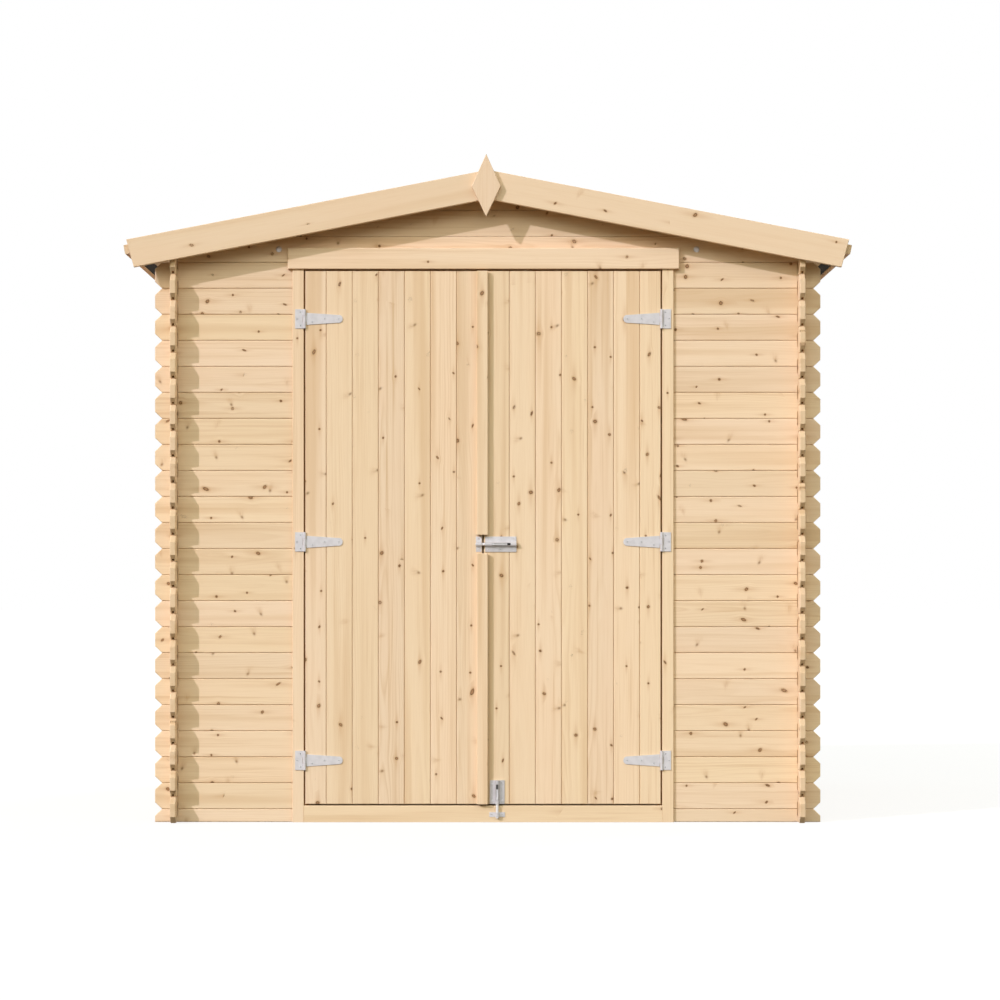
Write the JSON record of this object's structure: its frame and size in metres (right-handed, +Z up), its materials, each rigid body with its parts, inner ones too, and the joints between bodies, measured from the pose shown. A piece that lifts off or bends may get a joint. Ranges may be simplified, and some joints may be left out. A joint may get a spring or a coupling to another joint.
{
  "type": "wooden garden shed",
  "caption": "Garden shed of interlocking wall boards with crossed corner ends, a felted gable roof and a pair of boarded doors with strap hinges and barrel bolts.",
  "frame": {"origin": "centre of the footprint at ground level", "axes": "+X to the right seen from the doors, the doors face -Y, +Z up"},
  "size_m": [2.447, 2.228, 2.2445],
  "materials": {
    "wall_boards": "planed untreated spruce, satin, with knots",
    "frame_timber": "planed untreated spruce, satin, with knots",
    "door_boards": "planed untreated spruce, satin, with knots",
    "inner_timber": "planed untreated spruce, matt",
    "roofing_felt": "matt mineral surfaced bitumen felt",
    "galvanised_steel": "bright zinc plate, satin"
  },
  "bodies": {
    "root": {"front_wall_left": "wall_boards", "front_wall_right": "wall_boards", "front_gable": "wall_boards", "back_wall": "wall_boards", "back_gable": "wall_boards", "side_wall_left": "wall_boards", "side_wall_right": "wall_boards", "door_jamb_left": "frame_timber", "door_jamb_right": "frame_timber", "door_head": "frame_timber", "door_sill": "frame_timber", "door_lintel": "frame_timber", "floor_bearers": "inner_timber", "floor_boards": "inner_timber", "ridge_purlin": "inner_timber", "side_purlins": "inner_timber", "gable_cleats": "inner_timber", "coach_bolts": "galvanised_steel", "roof_deck_left": "inner_timber", "roof_deck_right": "inner_timber", "roof_felt_left": "roofing_felt", "roof_felt_right": "roofing_felt", "ridge_felt": "roofing_felt", "bargeboard_front_left": "frame_timber", "bargeboard_front_right": "frame_timber", "bargeboard_back_left": "frame_timber", "bargeboard_back_right": "frame_timber", "finial_front": "frame_timber", "finial_back": "frame_timber", "eave_fascia_left": "frame_timber", "eave_fascia_right": "frame_timber", "hinge_plates": "galvanised_steel", "floor_bolt_keeper": "galvanised_steel"},
    "left_door": {"left_leaf_boards": "door_boards", "left_leaf_frame": "inner_timber", "meeting_strips": "door_boards", "hinge_straps_left": "galvanised_steel", "lock_bolt_keeper": "galvanised_steel"},
    "right_door": {"right_leaf_boards": "door_boards", "right_leaf_frame": "inner_timber", "hinge_straps_right": "galvanised_steel", "lock_bolt_body": "galvanised_steel", "floor_bolt_body": "galvanised_steel"},
    "lock_bolt": {"lock_bolt_rod": "galvanised_steel"},
    "floor_bolt": {"floor_bolt_rod": "galvanised_steel"}
  },
  "joints": [
    {"name": "left_door_hinge", "type": "hinge", "parent": "root", "child": "left_door", "pos_m": [-0.6185, -1.023, 0.947], "axis": [0, 0, -1], "range_deg": [0, 165]},
    {"name": "right_door_hinge", "type": "hinge", "parent": "root", "child": "right_door", "pos_m": [0.587, -1.023, 0.947], "axis": [0, 0, 1], "range_deg": [0, 165]},
    {"name": "lock_bolt_slide", "type": "slide", "parent": "right_door", "child": "lock_bolt", "axis": [1, 0, 0], "range_m": [0, 0.03]},
    {"name": "floor_bolt_slide", "type": "slide", "parent": "right_door", "child": "floor_bolt", "axis": [0, 0, 1], "range_m": [0, 0.03]}
  ]
}
